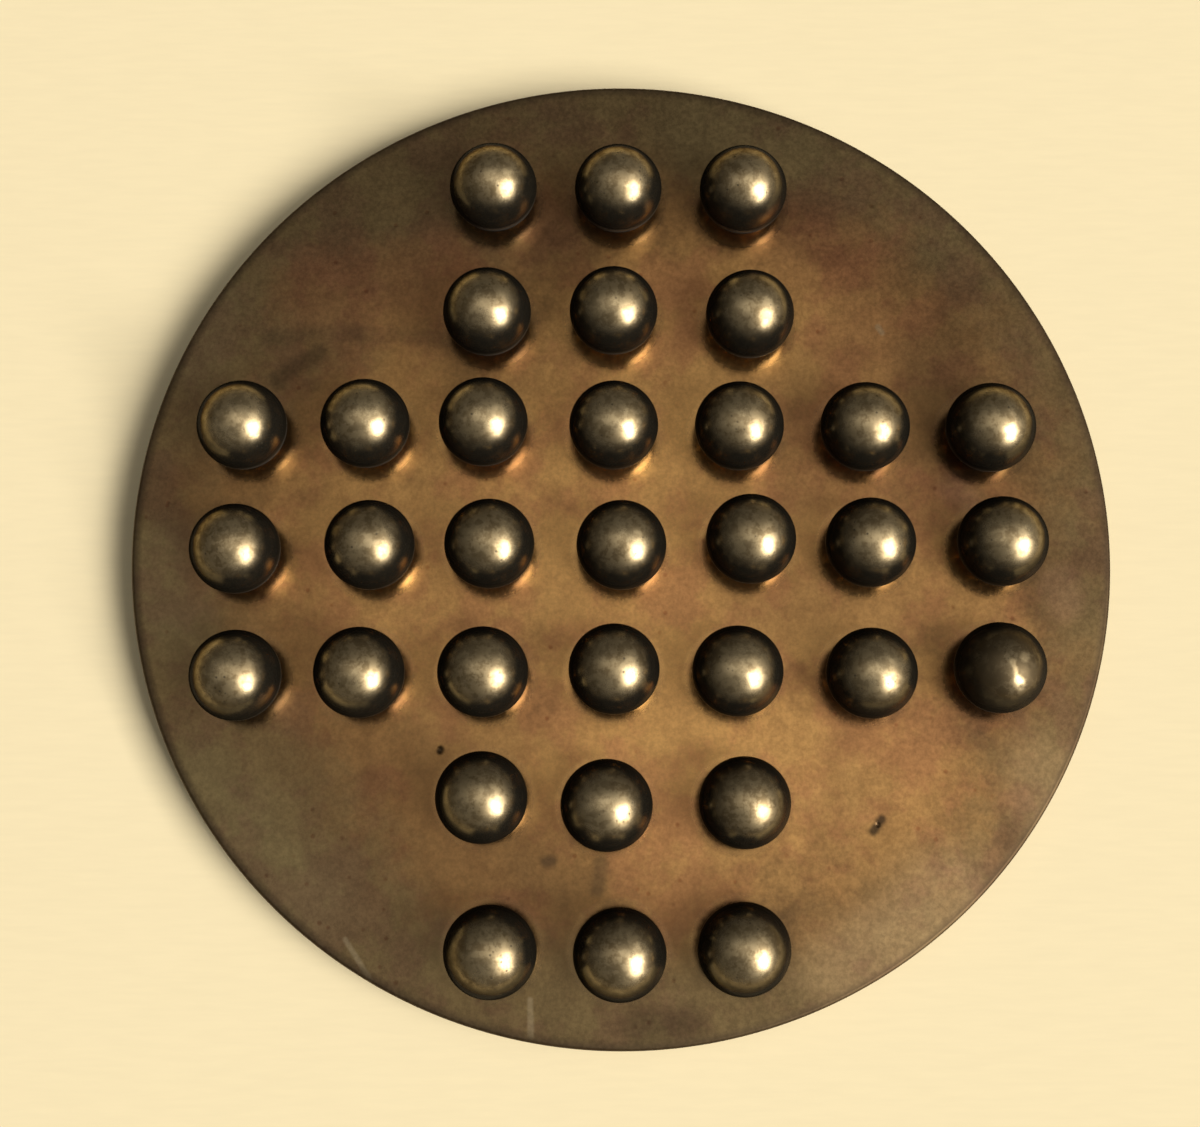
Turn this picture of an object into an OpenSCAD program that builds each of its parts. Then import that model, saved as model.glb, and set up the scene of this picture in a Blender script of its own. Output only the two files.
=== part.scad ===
// Solitaire board: a round metal plate whose drilled seats hold a cross of loose steel balls.
// The origin is the centre of the plate's underside, +Z is up and +Y points to the far row.

/* [Board] */
// Diameter of the round plate
board_d = 200; // [198:1:220]
// Thickness of the plate
board_t = 9; // [6:0.5:12]
// Radius of the worn edges at the top and bottom of the rim
rim_round = 0.8; // [0.3:0.1:1.5]

/* [Layout] */
// Distance between neighbouring seats
pitch = 25.4; // [24:0.2:26]
// Share of the hand marking's error that is kept, from a true grid to the plate as it was made
wander = 1; // [0:0.1:1.2]

/* [Seats] */
// Point angle of the drill that sank the seats
drill_angle = 118; // [110:1:130]
// Width of the seat's wall above the ring where the ball bears
seat_lip = 0.5; // [0.2:0.1:0.8]
// Clearance between a ball and the wall of its seat
seat_gap = 0.1; // [0.05:0.05:0.3]

/* [Balls] */
// Diameter of a ball
ball_d = 18; // [17:0.1:19]

/* [Hidden] */
$fn = 96;

// A tool that cuts through a face starts this far outside it
overcut = 1;

board_r = board_d / 2;
ball_r = ball_d / 2;
wall_angle = drill_angle / 2;

// The ball bears on a ring of the cone, and the seat's mouth lies a lip outside that ring
bearing_r = ball_r * cos(wall_angle);
seat_r = bearing_r + seat_lip;
seat_depth = seat_r / tan(wall_angle);

// A ball touching a cone has its centre this far above the cone's point
ball_z = board_t - seat_depth + (ball_r + seat_gap) / sin(wall_angle);

// The marking out, row by row from the far side, in mm as read off by eye.
// First how far the row's scribed line strays from true at its left and right end,
// then how far each seat strays along that line, then how far it strays off the line.
row_marks = [
    [[-2.0, -2.5], [-1.0, -0.5, 0.0], [0.0, 0.0, 0.0]],
    [[-3.0, -3.5], [-2.0, -1.5, 1.0], [-0.5, 0.0, -0.5]],
    [[-1.5, -2.5], [-0.5, -1.0, -2.5, -1.5, -1.5, -1.5, -1.5], [-0.5, 0.0, 0.5, 0.0, 0.0, 0.0, 0.0]],
    [[-2.0, -0.5], [-1.0, 0.5, -1.0, 0.0, 0.5, -1.0, 0.0], [0.0, 0.5, 0.5, 0.0, 1.0, 0.0, 0.0]],
    [[-1.5, -1.0], [0.0, -1.0, -2.0, -1.5, -2.5, -1.5, -1.5], [-0.5, 0.0, 0.0, 0.5, 0.0, -0.5, 0.5]],
    [[-1.0, -2.0], [-2.0, -3.0, -1.5], [0.5, -0.5, 0.5]],
    [[-4.5, -4.5], [0.0, -0.5, -2.0], [0.0, -0.5, 0.5]]
];
column_letters = "abcdefg";
middle = (len(column_letters) - 1) / 2;

// How many seats a row has, and the column of its first one
function seats_in(row) = len(row_marks[row][1]);
function first_column(row) = (len(column_letters) - seats_in(row)) / 2;

// How far seat k of a row strays from the true grid, across and along the plate
function line_stray(ends, share) = ends[0] + (ends[1] - ends[0]) * share;
function stray(row, k) = [
    row_marks[row][1][k],
    line_stray(row_marks[row][0], k / (seats_in(row) - 1)) + row_marks[row][2][k]
];

// Where seat k of a row lies on the plate, and the name of the ball in it
function seat_place(row, k) = [first_column(row) + k - middle, middle - row] * pitch + wander * stray(row, k);
function ball_name(row, k) = str("ball_", column_letters[first_column(row) + k], row + 1);

row_numbers = [0 : len(row_marks) - 1];
places = [for (row = row_numbers) for (k = [0 : seats_in(row) - 1]) seat_place(row, k)];
names = [for (row = row_numbers) for (k = [0 : seats_in(row) - 1]) ball_name(row, k)];

// Half section of the plate, with its worn edges as true arcs
module plate_section() {
    square([board_r - rim_round, board_t]);
    translate([0, rim_round])
        square([board_r, board_t - 2 * rim_round]);
    for (z = [rim_round, board_t - rim_round])
        translate([board_r - rim_round, z])
            circle(r = rim_round);
}

// The hole that a drill's point leaves, from its tip to above the plate's face
module seat_cut() {
    cut_depth = seat_depth + overcut;
    translate([0, 0, board_t - seat_depth])
        cylinder(h = cut_depth, r1 = 0, r2 = cut_depth * tan(wall_angle));
}

module board() {
    color("#80603c")
        difference() {
            rotate_extrude()
                plate_section();
            for (place = places)
                translate(place)
                    seat_cut();
        }
}

module ball(place) {
    color("#b4aea2")
        translate([place[0], place[1], ball_z])
            sphere(r = ball_r);
}

board();
for (i = [0 : len(names) - 1])
    ball(places[i]);
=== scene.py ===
"""The looks of a round brass solitaire board and its steel balls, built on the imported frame."""

import logging
import math
import random
from dataclasses import dataclass, field
from enum import Enum
from typing import Any, NamedTuple, Optional, Union

import bmesh
import bpy
from mathutils import Matrix, Vector
from mathutils.kdtree import KDTree


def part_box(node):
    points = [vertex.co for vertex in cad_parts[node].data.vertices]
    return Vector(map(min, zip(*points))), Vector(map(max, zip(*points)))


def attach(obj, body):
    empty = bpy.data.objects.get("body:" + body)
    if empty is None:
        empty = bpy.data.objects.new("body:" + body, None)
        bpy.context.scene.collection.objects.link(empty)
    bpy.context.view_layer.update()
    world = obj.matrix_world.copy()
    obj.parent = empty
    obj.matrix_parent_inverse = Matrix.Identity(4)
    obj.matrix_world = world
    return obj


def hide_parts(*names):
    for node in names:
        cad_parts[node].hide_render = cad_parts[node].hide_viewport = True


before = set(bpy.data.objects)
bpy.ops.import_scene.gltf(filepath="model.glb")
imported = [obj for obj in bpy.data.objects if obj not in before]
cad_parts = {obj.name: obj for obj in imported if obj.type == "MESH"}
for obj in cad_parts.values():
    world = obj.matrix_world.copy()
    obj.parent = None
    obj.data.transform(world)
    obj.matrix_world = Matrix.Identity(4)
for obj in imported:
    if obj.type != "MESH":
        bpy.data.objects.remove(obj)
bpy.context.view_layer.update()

LOG = logging.getLogger("solitaire_board")
MM = 0.001
# Vertex attribute for how dark the plate is round and in each seat and at the rim: partly grime, partly
# painted shade.
SEAT_DIRT_AND_SHADE = "seat_dirt_and_shade"
SEAT_WALL = "seat_wall"
PITTED_BALL = "ball_g5"
STROKE_CORE = 0.2
WELD = 0.0005 * MM

Colour = tuple[float, float, float]
Point = tuple[float, float]
Number = Union["Wire", float, int]


class Rung(NamedTuple):
    """One point of an outline that is turned round the Z axis."""

    radius: float
    height: float
    # How much darker the point is: partly grime, partly painted shade.
    dirt_and_shade: float = 0.0
    drilled: float = 0.0


@dataclass(frozen=True)
class Cloud:
    """A soft random pattern: its width in millimetres, its finer layers, its seed and their strength."""

    size: float
    detail: float
    seed: float
    rough: float = 0.55


class Wire:
    """An output of a shader node that takes part in Python arithmetic."""

    def __init__(self, graph: "Graph", socket: Optional[bpy.types.NodeSocket]) -> None:
        """Keeps the socket and the graph that new nodes go into."""
        self.graph = graph
        self.socket = socket

    def _math(self, operation: str, *values: Number) -> "Wire":
        """Adds one Math node.

        Args:
            operation: Blender's name of the operation.
            values: Its operands, in order.

        Returns:
            The node's result.
        """
        return self.graph.node("ShaderNodeMath", {"operation": operation}, dict(enumerate(values)))

    def __add__(self, other: Number) -> "Wire":
        """self + other."""
        return self._math("ADD", self, other)

    def __radd__(self, other: Number) -> "Wire":
        """other + self."""
        return self._math("ADD", other, self)

    def __sub__(self, other: Number) -> "Wire":
        """self - other."""
        return self._math("SUBTRACT", self, other)

    def __rsub__(self, other: Number) -> "Wire":
        """other - self."""
        return self._math("SUBTRACT", other, self)

    def __mul__(self, other: Number) -> "Wire":
        """self * other."""
        return self._math("MULTIPLY", self, other)

    def __truediv__(self, other: Number) -> "Wire":
        """self / other."""
        return self._math("DIVIDE", self, other)

    def root(self) -> "Wire":
        """The square root."""
        return self._math("SQRT", self)

    def sine(self) -> "Wire":
        """The sine of an angle in radians."""
        return self._math("SINE", self)

    def least(self, other: Number) -> "Wire":
        """The smaller of the two."""
        return self._math("MINIMUM", self, other)

    def most(self, other: Number) -> "Wire":
        """The larger of the two."""
        return self._math("MAXIMUM", self, other)

    def rise(self, low: float, high: float) -> "Wire":
        """A smooth step.

        Args:
            low: Where the result is still 0.
            high: Where the result has become 1.

        Returns:
            A value from 0 to 1.
        """
        settings = {"interpolation_type": "SMOOTHSTEP"}
        return self.graph.node("ShaderNodeMapRange", settings, {0: self, 1: low, 2: high, 3: 0.0, 4: 1.0})

    def fall(self, low: float, high: float) -> "Wire":
        """A smooth step from 1 at low down to 0 at high."""
        return 1 - self.rise(low, high)


class Graph:
    """A node tree and the helpers that fill it."""

    def __init__(self, tree: bpy.types.NodeTree) -> None:
        """Empties the tree."""
        self.tree = tree
        self.tree.nodes.clear()

    def node(
        self,
        kind: str,
        settings: dict[str, Any],
        links: dict[Union[int, str], Any],
        output: Union[int, str] = 0,
    ) -> Wire:
        """Adds a node of any kind.

        Args:
            kind: Blender's name of the node's type.
            settings: What is set on the node before its sockets.
            links: A value or a wire for each socket, by number or name.
            output: The output that is wanted.

        Returns:
            That output, or an empty wire for a node that has none.
        """
        made = self.tree.nodes.new(kind)
        for key, value in settings.items():
            setattr(made, key, value)
        for key, value in links.items():
            socket = made.inputs[key]
            if isinstance(value, Wire):
                self.tree.links.new(value.socket, socket)
            elif socket.type == "RGBA":
                socket.default_value = (*value, 1.0)
            else:
                socket.default_value = value
        return Wire(self, made.outputs[output] if made.outputs else None)

    def parts(self, vector: Wire) -> tuple[Wire, Wire, Wire]:
        """The three parts of a vector."""
        split = self.node("ShaderNodeSeparateXYZ", {}, {0: vector})
        return tuple(Wire(self, split.socket.node.outputs[i]) for i in range(3))

    def blend(self, share: Number, first: Any, second: Any, mode: str = "MIX") -> Wire:
        """Mixes two colours.

        Args:
            share: How much of the second colour shows.
            first: A colour or a wire.
            second: A colour or a wire.
            mode: Blender's name of the mix.

        Returns:
            The mixed colour.
        """
        settings = {"data_type": "RGBA", "blend_type": mode, "clamp_factor": True}
        return self.node("ShaderNodeMix", settings, {0: share, 6: first, 7: second}, 2)


class Surface(Graph):
    """One material with a single surface."""

    def __init__(self, name: str) -> None:
        """Makes an empty node material of that name."""
        self.material = bpy.data.materials.new(name)
        self.material.use_nodes = True
        super().__init__(self.material.node_tree)

    def place_mm(self) -> Wire:
        """The point's place in the part's own frame, in millimetres."""
        place = self.node("ShaderNodeTexCoord", {}, {}, "Object")
        return self.node("ShaderNodeVectorMath", {"operation": "SCALE"}, {0: place, "Scale": 1 / MM})

    def attribute(self, name: str) -> Wire:
        """A number kept on the mesh under that name."""
        return self.node("ShaderNodeAttribute", {"attribute_name": name}, {}, "Fac")

    def cloud(self, place: Wire, kind: Cloud) -> Wire:
        """Reads a cloud.

        Args:
            place: Where it is read, in millimetres.
            kind: The cloud.

        Returns:
            A value around 0.5.
        """
        links = {
            "Vector": place,
            "W": kind.seed,
            "Scale": 1 / kind.size,
            "Detail": kind.detail,
            "Roughness": kind.rough,
        }
        return self.node("ShaderNodeTexNoise", {"noise_dimensions": "4D"}, links)

    def specks(self, place: Wire, size: float) -> Wire:
        """Scattered points.

        Args:
            place: Where they are looked for, in millimetres.
            size: How far apart they lie, in millimetres.

        Returns:
            The distance to the nearest one, as a share of size.
        """
        links = {"Vector": place, "Scale": 1 / size}
        return self.node("ShaderNodeTexVoronoi", {"feature": "F1"}, links, "Distance")

    def stretch(self, place: Wire, turn: float, factor: float) -> Wire:
        """Turns a pattern about Z and draws it out along its own X.

        Args:
            place: The place to change.
            turn: Angle in degrees.
            factor: How many times longer the pattern becomes.

        Returns:
            The changed place.
        """
        links = {"Vector": place, "Rotation": (0, 0, math.radians(turn)), "Scale": (1 / factor, 1, 1)}
        return self.node("ShaderNodeMapping", {"vector_type": "POINT"}, links)

    def bump(self, height: Wire, depth: float, strength: float) -> Wire:
        """Bumps the surface.

        Args:
            height: The height of the bumps, from 0 to 1.
            depth: How deep that is in metres.
            strength: How much of it shows.

        Returns:
            The bumped normal.
        """
        return self.node("ShaderNodeBump", {}, {"Strength": strength, "Distance": depth, "Height": height})

    def finish(self, **sockets: Any) -> bpy.types.Material:
        """Wires the surface.

        Args:
            sockets: Values or wires for the surface's sockets, with _ for each space.

        Returns:
            The finished material.
        """
        links = {key.replace("_", " "): value for key, value in sockets.items()}
        surface = self.node("ShaderNodeBsdfPrincipled", {}, links, "BSDF")
        self.node("ShaderNodeOutputMaterial", {}, {"Surface": surface})
        return self.material


class Tone(Enum):
    """The colours of the plate's face and of the marks on it."""

    GOLD = (0.660, 0.352, 0.110)
    UMBER = (0.318, 0.165, 0.057)
    BROWN = (0.188, 0.101, 0.038)
    OLIVE = (0.210, 0.141, 0.058)
    SAGE = (0.275, 0.200, 0.084)
    RUSSET = (0.330, 0.150, 0.058)
    ROSE = (0.380, 0.215, 0.110)
    BUFF = (0.460, 0.300, 0.135)
    STAIN = (0.040, 0.026, 0.014)
    # Grime, also used for the painted shade round each seat and at the rim.
    GRIME_AND_SHADE = (0.070, 0.045, 0.024)
    SCRATCH = (0.420, 0.320, 0.180)
    CUT = (0.560, 0.370, 0.150)


@dataclass(frozen=True)
class Film:
    """A cloudy film that lets through a share of the colours under it.

    The cloud starts to show at the first of its edges and is whole at the second.
    """

    cloud: Cloud
    edges: Point
    strength: float
    lets_through: Colour

    def over(self, surface: Surface, place: Wire, colour: Wire) -> Wire:
        """Lays the film over a colour.

        Args:
            surface: The material that it belongs to.
            place: The point's place in millimetres.
            colour: The colour under the film.

        Returns:
            The darkened colour.
        """
        share = surface.cloud(place, self.cloud).rise(*self.edges) * self.strength
        return surface.blend(share, colour, self.lets_through, "MULTIPLY")


@dataclass(frozen=True)
class Stroke:
    """A soft-edged patch along a short line seen from above, in millimetres."""

    start: Point
    end: Point
    width: float
    strength: float

    def mask(self, x: Wire, y: Wire, fray: Wire) -> Wire:
        """How strongly the patch shows.

        Args:
            x: Place along X in millimetres.
            y: Place along Y in millimetres.
            fray: Noise around 0 that breaks up the patch's edge.

        Returns:
            A value from 0 to the patch's strength.
        """
        run = Vector(self.end) - Vector(self.start)
        across, up = x - self.start[0], y - self.start[1]
        share = ((across * run.x + up * run.y) / run.length_squared).most(0.0).least(1.0)
        off_x, off_y = across - share * run.x, up - share * run.y
        distance = (off_x * off_x + off_y * off_y).root() + fray * self.width
        return distance.fall(STROKE_CORE * self.width, self.width) * self.strength


@dataclass(frozen=True)
class Mark(Stroke):
    """A patch of colour, stain or scratch on the plate's face."""

    tone: Tone


@dataclass(frozen=True)
class PatinatedBrass:
    """Old brass: golden where hands rub it, brown and olive towards the rim, with stains and scratches, and
    darkened round each seat partly by grime and partly as painted shade round the ball.
    """

    zones: tuple[Mark, ...] = (
        Mark((-50.0, 0.0), (42.0, -6.0), 36.0, 0.72, Tone.GOLD),
        Mark((4.0, 42.0), (8.0, -56.0), 34.0, 0.62, Tone.GOLD),
        Mark((34.0, -46.0), (50.0, -48.0), 33.0, 0.50, Tone.GOLD),
        Mark((-30.0, 18.0), (13.0, 22.0), 19.0, 0.60, Tone.GOLD),
        Mark((-10.0, -40.0), (34.0, -42.0), 14.0, 0.42, Tone.GOLD),
        Mark((-42.0, -22.0), (-18.0, -46.0), 20.0, 0.45, Tone.GOLD),
        Mark((6.0, 52.0), (36.0, 52.0), 18.0, 0.58, Tone.GOLD),
        Mark((4.0, 38.0), (42.0, 42.0), 34.0, 0.34, Tone.GOLD),
        Mark((-48.0, 30.0), (-6.0, 32.0), 12.0, 0.30, Tone.GOLD),
        Mark((66.0, -10.0), (74.0, -20.0), 15.0, 0.42, Tone.GOLD),
        Mark((-54.0, 54.0), (-48.0, 32.0), 14.0, 0.36, Tone.GOLD),
        Mark((-76.0, -26.0), (-64.0, -31.0), 12.0, 0.30, Tone.GOLD),
        Mark((-68.0, -30.0), (-26.0, -72.0), 22.0, 0.60, Tone.UMBER),
        Mark((29.0, -11.0), (53.0, -9.0), 13.0, 0.56, Tone.UMBER),
        Mark((-78.0, 48.0), (-44.0, 80.0), 30.0, 0.80, Tone.OLIVE),
        Mark((-36.0, 78.0), (-24.0, 68.0), 12.0, 0.50, Tone.OLIVE),
        Mark((-14.0, 95.0), (34.0, 92.0), 22.0, 0.80, Tone.OLIVE),
        Mark((-90.0, -28.0), (-48.0, -84.0), 26.0, 0.80, Tone.OLIVE),
        Mark((-44.0, -90.0), (26.0, -95.0), 22.0, 0.80, Tone.OLIVE),
        Mark((-84.0, -50.0), (-63.0, -71.0), 16.0, 0.60, Tone.SAGE),
        Mark((-96.0, -3.0), (-92.0, -12.0), 14.0, 0.60, Tone.SAGE),
        Mark((-93.0, 40.0), (-86.0, 53.0), 13.0, 0.60, Tone.SAGE),
        Mark((20.0, 91.0), (66.0, 70.0), 18.0, 0.35, Tone.SAGE),
        Mark((-63.0, 54.0), (-40.0, 57.0), 15.0, 0.55, Tone.RUSSET),
        Mark((38.0, 65.0), (50.0, 61.0), 16.0, 0.50, Tone.RUSSET),
        Mark((48.0, 46.0), (56.0, 43.0), 12.0, 0.45, Tone.RUSSET),
        Mark((14.0, 52.0), (15.0, 48.0), 10.0, 0.40, Tone.RUSSET),
        Mark((37.0, 13.0), (61.0, 11.0), 12.0, 0.40, Tone.RUSSET),
        Mark((1.0, -38.0), (7.0, -39.0), 10.0, 0.45, Tone.GOLD),
        Mark((46.0, -86.0), (64.0, -70.0), 15.0, 0.55, Tone.BUFF),
        Mark((84.0, -46.0), (86.0, -52.0), 12.0, 0.35, Tone.BUFF),
        Mark((89.0, -8.0), (90.0, -12.0), 6.0, 0.35, Tone.ROSE),
        Mark((69.0, 12.0), (71.0, 10.0), 5.0, 0.35, Tone.ROSE),
        Mark((-14.0, 66.0), (-8.0, 64.0), 12.0, 0.55, Tone.BROWN),
        Mark((66.0, 38.0), (70.0, 22.0), 14.0, 0.70, Tone.BROWN),
        Mark((-16.0, -63.0), (-10.0, -66.0), 12.0, 0.40, Tone.BROWN),
    )
    marks: tuple[Mark, ...] = (
        Mark((-71.0, 35.0), (-63.0, 41.0), 3.2, 0.50, Tone.STAIN),
        Mark((-73.0, 44.0), (-55.0, 45.2), 3.0, 0.26, Tone.GRIME_AND_SHADE),
        Mark((-55.0, 45.2), (-36.0, 43.8), 2.6, 0.20, Tone.GRIME_AND_SHADE),
        Mark((-54.3, -78.7), (-49.2, -86.4), 0.8, 0.42, Tone.SCRATCH),
        Mark((-17.9, -90.2), (-17.7, -97.0), 0.9, 0.36, Tone.SCRATCH),
        Mark((-36.4, -41.7), (-36.2, -41.5), 0.9, 0.90, Tone.STAIN),
        Mark((50.0, -57.5), (51.7, -55.3), 1.4, 0.85, Tone.STAIN),
        Mark((-4.6, -69.0), (-4.2, -64.0), 2.4, 0.50, Tone.GRIME_AND_SHADE),
        Mark((-15.0, -63.6), (-14.0, -63.4), 1.8, 0.60, Tone.GRIME_AND_SHADE),
        Mark((4.0, -95.5), (13.0, -94.5), 6.0, 0.40, Tone.STAIN),
        Mark((53.8, 46.4), (54.6, 45.2), 1.0, 0.40, Tone.SCRATCH),
    )
    rim_start: float = 78.0
    rim_width: float = 6.0
    radius: float = 100.0
    patch: Cloud = Cloud(15.0, 5.0, 2.0, 0.60)
    grain: Cloud = Cloud(0.9, 3.0, 3.0, 0.70)
    fray: Cloud = Cloud(7.0, 5.0, 5.0, 0.65)
    films: tuple[Film, ...] = (
        Film(Cloud(12.0, 4.0, 6.0, 0.62), (0.45, 0.61), 0.75, (0.86, 0.74, 0.86)),
        Film(Cloud(5.0, 5.0, 7.0, 0.70), (0.36, 0.62), 0.60, (0.74, 0.71, 0.73)),
    )
    spotted: Cloud = Cloud(12.0, 2.0, 8.0)
    spot_size: float = 4.2
    spot_shade: Colour = (0.60, 0.42, 0.40)
    grain_shade: Colour = (0.74, 0.74, 0.74)
    rim_fray: float = 24.0
    tool_rings: float = 26.0
    roughness: float = 0.37
    metallic: float = 0.95
    bump_depth: float = 0.05 * MM
    bump_strength: float = 0.6

    def material(self) -> bpy.types.Material:
        """Makes the plate's material.

        Returns:
            The finished material.
        """
        s = Surface("patinated_brass")
        place = s.place_mm()
        x, y, z = s.parts(place)
        patch = s.cloud(place, self.patch)
        grain = s.cloud(place, self.grain)
        fray = s.cloud(place, self.fray) - 0.5
        colour = s.blend(patch.rise(0.35, 0.65), Tone.BROWN.value, Tone.UMBER.value)
        away = (x * x + y * y).root()
        reach = (away + fray * self.rim_fray).rise(self.rim_start, self.radius)
        colour = s.blend(reach * 0.8, colour, Tone.OLIVE.value)
        for zone in self.zones:
            colour = s.blend(zone.mask(x, y, fray), colour, zone.tone.value)
        for film in self.films:
            colour = film.over(s, place, colour)
        spotted = s.cloud(place, self.spotted).rise(0.46, 0.56)
        spots = s.specks(place, self.spot_size).fall(0.05, 0.16) * spotted
        colour = s.blend(spots * 0.6, colour, self.spot_shade, "MULTIPLY")
        for mark in self.marks:
            colour = s.blend(mark.mask(x, y, fray), colour, mark.tone.value)
        dirt_and_shade = s.attribute(SEAT_DIRT_AND_SHADE)
        drilled = s.attribute(SEAT_WALL)
        ring = dirt_and_shade * (1 - drilled)
        rubbed = ring * away.fall(self.radius - self.rim_width, self.radius - self.rim_width / 2)
        rim = ring - rubbed
        # The ring round each seat darkens partly with grime and partly as painted contact shade round the
        # ball; the rim's rounded edge darkens too.
        colour = s.blend(rubbed * (0.28 + fray) + rim * 0.65, colour, Tone.GRIME_AND_SHADE.value)
        colour = s.blend(grain.fall(0.30, 0.70), colour, self.grain_shade, "MULTIPLY")
        rings = (z * self.tool_rings).sine() * 0.5 + 0.5
        colour = s.blend(drilled * (0.65 + rings * 0.25), colour, Tone.CUT.value)
        # The seat's wall gets darker towards its point.
        colour = s.blend(drilled * dirt_and_shade * 0.7, colour, Tone.GRIME_AND_SHADE.value)
        rough = self.roughness + (grain - 0.5) * 0.2 + (patch - 0.5) * 0.15
        rough = rough + rim * 0.15 - rubbed * 0.22 - drilled * 0.08
        height = (patch * 0.4 + grain * 0.4 - spots * 0.3) * (1 - rubbed * 0.8) + rings * drilled * 0.3
        return s.finish(
            Base_Color=colour,
            Metallic=self.metallic,
            Roughness=rough,
            Normal=s.bump(height, self.bump_depth, self.bump_strength),
        )


class Wear(Enum):
    """How a ball has aged, named by its material slot."""

    POLISHED = "steel"
    PITTED = "steel_pitted"


@dataclass(frozen=True)
class BearingSteel:
    """Bearing steel under a cloudy, finely speckled tarnish, kept clean by its seat from below, with
    painted shade darkening its sides.

    A pitted ball is dull all over but for a few strokes, worn bright, that lie round its own middle.
    """

    wear: Wear
    middle: Vector
    bright: Colour = (0.530, 0.397, 0.211)
    tarnish: Colour = (0.165, 0.110, 0.048)
    # Colour of the dark specks, also used for the painted shade on the ball's sides.
    speck_and_shade: Colour = (0.053, 0.046, 0.034)
    clean: Colour = (0.520, 0.500, 0.440)
    edge: Colour = (0.010, 0.007, 0.004)
    worn: tuple[Stroke, ...] = (
        Stroke((0.4, 0.2), (1.3, -3.3), 0.9, 0.6),
        Stroke((1.6, -3.6), (1.8, -3.8), 1.7, 1.0),
        Stroke((2.9, 1.2), (3.1, 1.3), 1.6, 0.5),
    )
    haze: Cloud = Cloud(4.5, 5.0, 1.0, 0.65)
    mottle: Cloud = Cloud(1.3, 3.0, 2.0, 0.60)
    specked: Cloud = Cloud(5.0, 2.0, 3.0)
    scuff: Cloud = Cloud(0.07, 1.0, 4.0, 0.60)
    speck_size: float = 1.5
    # Heights above the ball's middle over which the painted shade on its sides fades out.
    flank_shade_top: Point = (5.2, 8.0)
    clean_top: Point = (-2.0, 0.5)
    roughness: float = 0.27
    metallic: float = 0.88
    bump_depth: float = 0.03 * MM
    bump_strength: float = 0.6

    def material(self) -> bpy.types.Material:
        """Makes the balls' material.

        Returns:
            The finished material.
        """
        s = Surface(f"ball_{self.wear.value}")
        place = s.place_mm()
        x, y, z = (part - middle for part, middle in zip(s.parts(place), self.middle))
        haze = s.cloud(place, self.haze)
        mottle = s.cloud(place, self.mottle)
        dull = haze.rise(0.36, 0.64)
        specked = s.cloud(place, self.specked).rise(0.48, 0.58)
        dots = s.specks(place, self.speck_size).fall(0.08, 0.22) * specked
        scuffs = s.cloud(place, self.scuff).rise(0.44, 0.56)
        seated = z.fall(*self.clean_top)
        # Painted shade: a dark band round the ball's sides, where they mirror the shaded plate and the dim
        # room; it leaves out the underside that the seat keeps clean.
        flank_shade = z.fall(*self.flank_shade_top) - seated
        share = dull * 0.45 + mottle.rise(0.44, 0.58) * 0.36
        rough = self.roughness + scuffs * 0.08 + dull * 0.06 + dots * 0.1
        rough = rough - flank_shade * 0.09 - seated * 0.18
        if self.wear is Wear.PITTED:
            rubbed = sum(stroke.mask(x, y, haze - 0.5) for stroke in self.worn).least(1.0)
            share = (share + 0.55) * (1 - rubbed)
            rough = rough + (1 - rubbed) * 0.14
            # On a pitted ball the same mask also darkens the dull tarnish everywhere but the bright
            # strokes.
            flank_shade = flank_shade.most((1 - rubbed) * 0.5)
        colour = s.blend(share, self.bright, self.tarnish)
        # Real specks, and the painted shade on the ball's sides, both darken towards the dark speck colour.
        colour = s.blend((dots * 0.7).most(flank_shade * 0.91), colour, self.speck_and_shade)
        colour = s.blend(seated * 0.9, colour, self.clean)
        height = haze * 0.3 + mottle * 0.3 - dots * 0.5
        return s.finish(
            Base_Color=colour,
            Metallic=self.metallic,
            Roughness=rough,
            Specular_Tint=self.edge,
            Normal=s.bump(height, self.bump_depth, self.bump_strength),
        )


@dataclass(frozen=True)
class PaleFloor:
    """A plain pale floor with a trace of weave."""

    colour: Colour = (0.93, 0.772, 0.465)
    warp: Cloud = Cloud(1.2, 2.0, 1.0)
    weft: Cloud = Cloud(1.2, 2.0, 2.0)
    thread_length: float = 8.0
    shade: float = 0.94
    roughness: float = 0.9
    gloss: float = 0.1

    def material(self) -> bpy.types.Material:
        """Makes the floor's material.

        Returns:
            The finished material.
        """
        s = Surface("pale_floor")
        place = s.place_mm()
        warp = s.cloud(s.stretch(place, 0.0, self.thread_length), self.warp)
        weft = s.cloud(s.stretch(place, 90.0, self.thread_length), self.weft)
        weave = ((warp + weft) * 0.5).rise(0.3, 0.7) * 0.5
        colour = s.blend(weave, self.colour, tuple(part * self.shade for part in self.colour))
        return s.finish(Base_Color=colour, Roughness=self.roughness, Specular_IOR_Level=self.gloss)


def piece_from(name: str, mesh: bmesh.types.BMesh, smooth_angle: float = 180.0) -> bpy.types.Object:
    """Turns a finished bmesh into an object at the origin.

    Args:
        name: The piece's name.
        mesh: The bmesh, which is freed.
        smooth_angle: Edges sharper than this stay sharp, in degrees.

    Returns:
        The new object.
    """
    data = bpy.data.meshes.new(name)
    mesh.to_mesh(data)
    mesh.free()
    data.shade_smooth()
    data.set_sharp_from_angle(angle=math.radians(smooth_angle))
    made = bpy.data.objects.new(name, data)
    bpy.context.scene.collection.objects.link(made)
    return made


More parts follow.
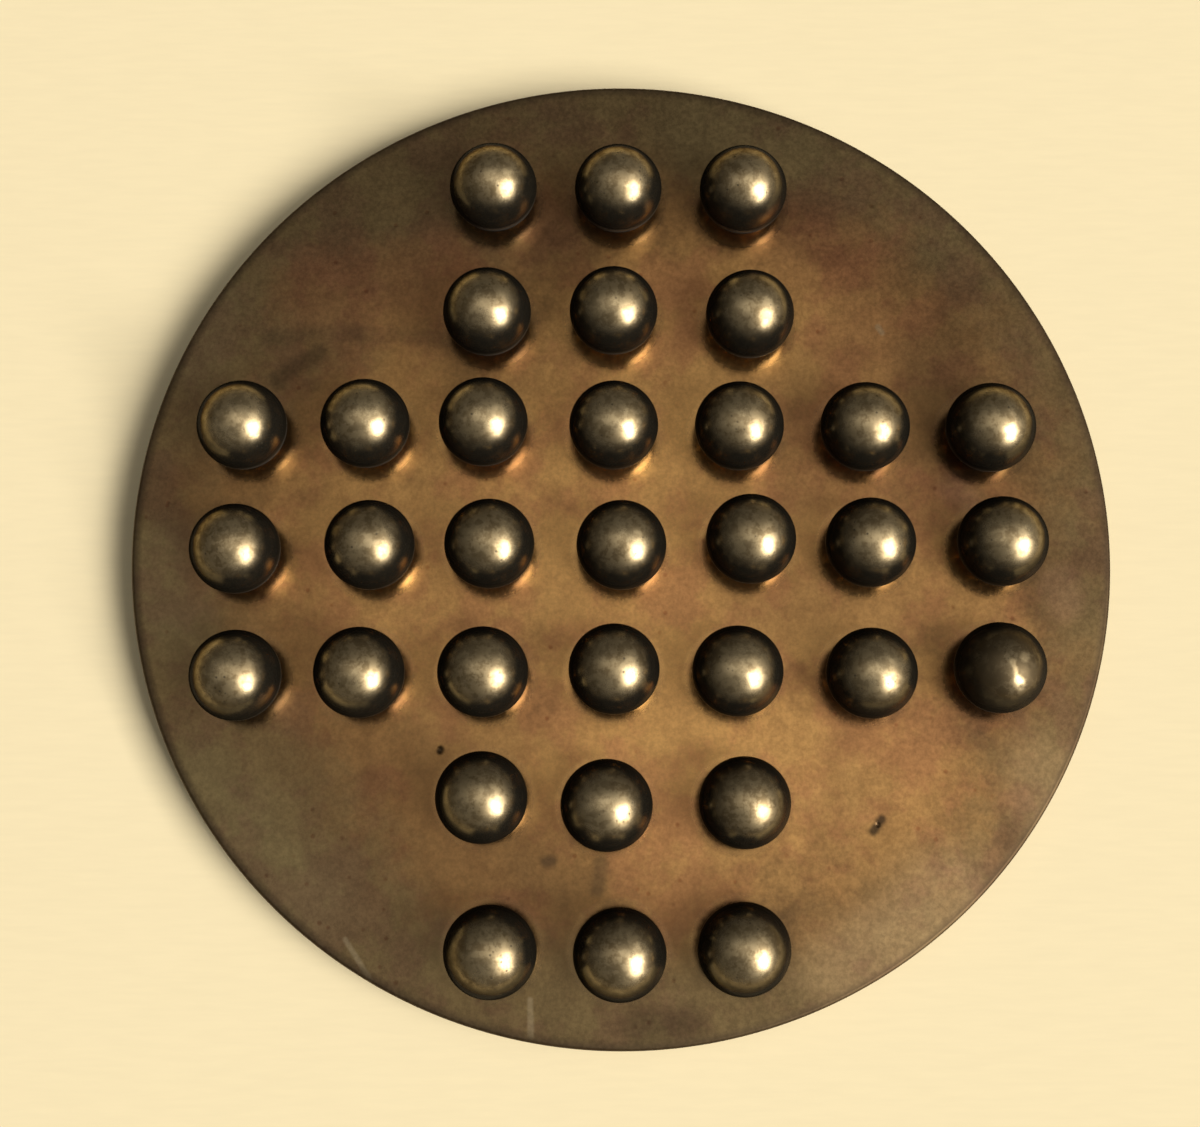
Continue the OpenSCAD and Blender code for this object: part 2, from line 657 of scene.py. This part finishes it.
def turned(outline: list[Rung], steps: int) -> bpy.types.Mesh:
    """Turns an outline round the Z axis.

    Args:
        outline: The outline from its free end to the axis.
        steps: How many sides the turned shape has.

    Returns:
        The turned shape, open at the free end.
    """
    mesh = bmesh.new()
    dirt_and_shade = mesh.verts.layers.float.new(SEAT_DIRT_AND_SHADE)
    wall = mesh.verts.layers.float.new(SEAT_WALL)
    verts = []
    for rung in outline:
        vert = mesh.verts.new((rung.radius, 0.0, rung.height))
        vert[dirt_and_shade] = rung.dirt_and_shade
        vert[wall] = rung.drilled
        verts.append(vert)
    edges = [mesh.edges.new(pair) for pair in zip(verts, verts[1:])]
    bmesh.ops.spin(
        mesh,
        geom=verts + edges,
        cent=(0, 0, 0),
        axis=(0, 0, 1),
        angle=math.tau,
        steps=steps,
        use_merge=True,
    )
    bmesh.ops.remove_doubles(mesh, verts=mesh.verts, dist=WELD)
    shape = bpy.data.meshes.new("turned")
    mesh.to_mesh(shape)
    mesh.free()
    return shape


def add_copies(mesh: bmesh.types.BMesh, shape: bpy.types.Mesh, places: list[Vector]) -> None:
    """Adds copies of a turned shape to the plate.

    Args:
        mesh: The plate.
        shape: The shape, round the Z axis, which is removed.
        places: Where the axis of each copy goes.
    """
    for place in places:
        move = Matrix.Translation((place.x, place.y, 0.0))
        shape.transform(move)
        mesh.from_mesh(shape)
        shape.transform(move.inverted())
    bpy.data.meshes.remove(shape)


@dataclass(frozen=True)
class Seat:
    """The hole that a drill's point leaves for a ball of one size."""

    ball_r: float
    half_angle: float = 59.0
    lip: float = 0.5 * MM

    @property
    def mouth_r(self) -> float:
        """Radius of the hole at the plate's face."""
        return self.ball_r * math.cos(math.radians(self.half_angle)) + self.lip

    @property
    def slope(self) -> float:
        """How much deeper the wall gets for each step inwards."""
        return 1 / math.tan(math.radians(self.half_angle))


@dataclass
class Plate:
    """The round plate: a worn rim, one drilled seat under each ball and a few small pits."""

    radius: float
    thickness: float
    seats: list[Vector]
    seat: Seat
    rim_round: float = 0.8 * MM
    lip_round: float = 0.12 * MM
    pits: tuple[Vector, ...] = (
        Vector((-36.3, -41.6, 0.8)) * MM,
        Vector((50.9, -56.4, 0.5)) * MM,
    )
    # How dark the ring round each seat is, by radius as a share of the mouth's: partly grime, partly
    # painted contact shade where it reaches past the ball.
    ring: tuple[Point, ...] = ((2.1, 0.0), (1.92, 0.55), (1.62, 0.9), (1.15, 1.0))
    # How much darker the seat's wall gets from its mouth down to its point, by radius as a share of the
    # mouth's.
    wall: tuple[Point, ...] = ((0.97, 0.7), (0.93, 0.0), (0.87, 0.0), (0.80, 0.6), (0.40, 0.8), (0.0, 1.0))
    pit_shape: tuple[Point, ...] = ((1.5, 0.0), (1.0, 0.03), (0.6, 0.20), (0.0, 0.28))
    # How dark the rim's rounded edge is: partly grime, partly painted shade that dulls its glint.
    rim_dirt_and_shade: float = 1.1
    rim_flat: float = 1.5 * MM
    rim_steps: int = 720
    seat_steps: int = 64
    arc_steps: int = 5
    sharp_angle: float = 40.0
    finish: PatinatedBrass = field(default_factory=PatinatedBrass)

    def build(self) -> bpy.types.Object:
        """Models the plate and dresses it.

        Returns:
            The plate's object, riding on its body.
        """
        mesh = bmesh.new()
        add_copies(mesh, turned(self.rim(), self.rim_steps), [Vector()])
        add_copies(mesh, turned(self.hole(), self.seat_steps), self.seats)
        for pit in self.pits:
            add_copies(mesh, turned(self.dish(pit.z), self.seat_steps), [pit])
        borders = [edge for edge in mesh.edges if edge.is_boundary]
        bmesh.ops.triangle_fill(mesh, edges=borders, use_beauty=True, use_dissolve=False, normal=(0, 0, 1))
        bmesh.ops.recalc_face_normals(mesh, faces=mesh.faces)
        made = piece_from("board_plate", mesh, self.sharp_angle)
        made.data.materials.append(self.finish.material())
        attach(made, "board")
        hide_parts("board")
        return made

    def rim(self) -> list[Rung]:
        """Draws the rim.

        Returns:
            The outline, from the face round to the middle of the underside.
        """
        inner = self.radius - self.rim_round
        outline = [Rung(inner - self.rim_flat, self.thickness)]
        for centre_z, first in ((self.thickness - self.rim_round, 90.0), (self.rim_round, 0.0)):
            for step in range(self.arc_steps + 1):
                angle = math.radians(first - 90.0 * step / self.arc_steps)
                radius = inner + self.rim_round * math.cos(angle)
                outline.append(Rung(radius, centre_z + self.rim_round * math.sin(angle), self.rim_dirt_and_shade))
        outline.append(Rung(0.0, 0.0))
        return outline

    def hole(self) -> list[Rung]:
        """Draws a conical seat.

        Returns:
            The outline, from the rubbed ring round the seat, darkened partly as painted shade, down to its
            point.
        """
        top = self.thickness
        mouth = self.seat.mouth_r
        outline = [Rung(share * mouth, top, dirt_and_shade) for share, dirt_and_shade in self.ring]
        outline.append(Rung(mouth + self.lip_round, top, 1.0, 0.1))
        outline.append(Rung(mouth, top - 0.25 * self.lip_round, 0.6, 0.6))
        for share, dirt_and_shade in self.wall:
            outline.append(Rung(share * mouth, top - (1 - share) * mouth * self.seat.slope, dirt_and_shade, 1.0))
        return outline

    def dish(self, radius: float) -> list[Rung]:
        """The outline of a small round pit of that radius."""
        return [Rung(share * radius, self.thickness - depth * radius) for share, depth in self.pit_shape]


@dataclass(frozen=True)
class Dents:
    """Round dents scattered over a ball: how many, and the spans of their radii and depths.

    The spans are shares of the ball's own radius.
    """

    count: int
    width: Point
    depth: Point


@dataclass
class Ball:
    """One loose bearing ball, with the small dents of long use."""

    node: str
    centre: Vector
    radius: float
    wear: Wear
    steel: bpy.types.Material
    knocks: Dents = Dents(5, (0.08, 0.14), (0.002, 0.005))
    pits: Dents = Dents(60, (0.06, 0.26), (0.002, 0.006))
    dents_up: float = 0.4
    detail: int = 5
    pitted_detail: int = 6

    def build(self) -> bpy.types.Object:
        """Models the ball and dresses it.

        Returns:
            The ball's object, riding on its own body.
        """
        mesh = bmesh.new()
        detail = self.pitted_detail if self.wear is Wear.PITTED else self.detail
        bmesh.ops.create_icosphere(mesh, subdivisions=detail, radius=self.radius)
        self.dent(mesh)
        bmesh.ops.translate(mesh, verts=mesh.verts, vec=self.centre)
        made = piece_from(f"{self.node}_steel", mesh)
        made.data.materials.append(self.steel)
        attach(made, self.node)
        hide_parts(self.node)
        return made

    def dent(self, mesh: bmesh.types.BMesh) -> None:
        """Presses a few shallow dents into the ball, and many into a pitted one.

        Args:
            mesh: The ball, around the origin.
        """
        chance = random.Random(self.node)
        mesh.verts.ensure_lookup_table()
        skin = KDTree(len(mesh.verts))
        for vert in mesh.verts:
            skin.insert(vert.co / self.radius, vert.index)
        skin.balance()
        kinds = [self.knocks, self.pits] if self.wear is Wear.PITTED else [self.knocks]
        for kind in kinds:
            for _ in range(kind.count):
                way = Vector([chance.gauss(middle, 1) for middle in (0, 0, self.dents_up)]).normalized()
                self.press(mesh, skin, way, chance.uniform(*kind.width), chance.uniform(*kind.depth))

    def press(self, mesh: bmesh.types.BMesh, skin: KDTree, way: Vector, width: float, depth: float) -> None:
        """Presses one round dent into the ball.

        Args:
            mesh: The ball, around the origin.
            skin: Its vertices' places before any dent, on a ball of radius 1.
            way: Direction of the dent from the ball's middle.
            width: Radius of the dent as a share of the ball's.
            depth: Depth of the dent as a share of the ball's radius.
        """
        for _, index, gap in skin.find_range(way, width):
            mesh.verts[index].co *= 1 - depth * (1 + math.cos(math.pi * gap / width)) / 2


@dataclass
class Setting:
    """Floor, light and camera."""

    aim: Vector = field(default_factory=lambda: Vector((-4.28, -3.71, 9.0)) * MM)
    camera_distance: float = 350 * MM
    camera_tilt: float = 10.0
    lens: float = 51.5
    floor_size: float = 6.0
    floor_drop: float = 0.05 * MM
    window_way: Vector = field(default_factory=lambda: Vector((0.646, -0.460, 0.609)))
    lamp_distance: float = 30.0
    window_size: Point = (12.8, 24.8)
    window_lean: float = 25.0
    window_power: float = 14600.0
    curtain_way: Vector = field(default_factory=lambda: Vector((0.650, 0.220, 0.727)))
    curtain_size: Point = (9.8, 17.2)
    curtain_power: float = 530.0
    room_low: Colour = (0.03, 0.03, 0.03)
    room_high: Colour = (1.20, 1.20, 1.20)
    ceiling_left: Point = (-0.9, 0.2)
    ceiling_right: Point = (0.1, 0.7)
    ceiling_middle: float = 0.04
    ceiling_half: Point = (0.06, 0.44)
    ceiling_low: Point = (0.0, 0.3)

    def build(self) -> None:
        """Makes everything that isn't part of the board."""
        self.floor()
        self.lamp("window", self.window_way, self.window_size, self.window_power, self.window_lean)
        self.lamp("curtain", self.curtain_way, self.curtain_size, self.curtain_power, 0.0)
        self.room()
        self.camera()

    def floor(self) -> None:
        """Lays a plain pale floor under the plate."""
        mesh = bmesh.new()
        bmesh.ops.create_grid(mesh, x_segments=4, y_segments=4, size=self.floor_size / 2)
        bmesh.ops.translate(mesh, verts=mesh.verts, vec=(0, 0, -self.floor_drop))
        made = piece_from("floor", mesh)
        made.data.materials.append(PaleFloor().material())

    def lamp(self, name: str, way: Vector, size: Point, power: float, lean: float) -> None:
        """Hangs one wide soft light with its long edge level.

        Args:
            name: Its name.
            way: Where it hangs, as seen from the plate.
            size: Its width and height in metres.
            power: Its power in watts.
            lean: How far the long edge turns from +Y to the left, in degrees.
        """
        data = bpy.data.lights.new(name, "AREA")
        data.shape = "RECTANGLE"
        data.size, data.size_y = size
        data.energy = power
        made = bpy.data.objects.new(name, data)
        edge = Vector((-math.sin(math.radians(lean)), math.cos(math.radians(lean)), 0))
        side = edge.cross(way).normalized()
        made.location = way.normalized() * self.lamp_distance
        made.rotation_euler = Matrix((side, edge, side.cross(edge))).transposed().to_euler()
        bpy.context.scene.collection.objects.link(made)

    def room(self) -> None:
        """Lights the ceiling over the board softly and leaves the walls dim."""
        world = bpy.data.worlds.new("room")
        world.use_nodes = True
        sky = Graph(world.node_tree)
        across, along, height = sky.parts(sky.node("ShaderNodeTexCoord", {}, {}, "Generated"))
        off = (along - self.ceiling_middle).most(self.ceiling_middle - along)
        lit = across.rise(*self.ceiling_left) * across.fall(*self.ceiling_right)
        lit = lit * off.fall(*self.ceiling_half) * height.rise(*self.ceiling_low)
        colour = sky.blend(lit, self.room_low, self.room_high)
        back = sky.node("ShaderNodeBackground", {}, {"Color": colour})
        sky.node("ShaderNodeOutputWorld", {}, {"Surface": back})
        bpy.context.scene.world = world

    def camera(self) -> None:
        """Sets the camera nearly overhead, a little to the near side."""
        lens = bpy.data.cameras.new("camera")
        lens.lens = self.lens
        made = bpy.data.objects.new("camera", lens)
        tilt = math.radians(self.camera_tilt)
        away = Vector((0.0, -math.sin(tilt), math.cos(tilt)))
        made.location = self.aim + away * self.camera_distance
        made.rotation_euler = away.to_track_quat("Z", "Y").to_euler()
        bpy.context.scene.collection.objects.link(made)
        bpy.context.scene.camera = made


def main() -> None:
    """Builds the board, the balls and their setting."""
    logging.basicConfig(level=logging.INFO, format="%(name)s: %(message)s")
    bpy.context.scene.view_settings.view_transform = "Standard"
    low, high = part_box("board")
    boxes = {node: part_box(node) for node in sorted(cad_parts) if node.startswith("ball_")}
    centres = {node: (first + last) / 2 for node, (first, last) in boxes.items()}
    ball_low, ball_high = next(iter(boxes.values()))
    ball_r = (ball_high.z - ball_low.z) / 2
    plate = Plate((high.x - low.x) / 2, high.z, list(centres.values()), Seat(ball_r))
    LOG.info("made %s", plate.build().name)
    steels = {wear: BearingSteel(wear, centres[PITTED_BALL] / MM).material() for wear in Wear}
    for node, centre in centres.items():
        wear = Wear.PITTED if node == PITTED_BALL else Wear.POLISHED
        LOG.info("made %s", Ball(node, centre, ball_r, wear, steels[wear]).build().name)
    Setting().build()


if __name__ == "__main__":
    main()
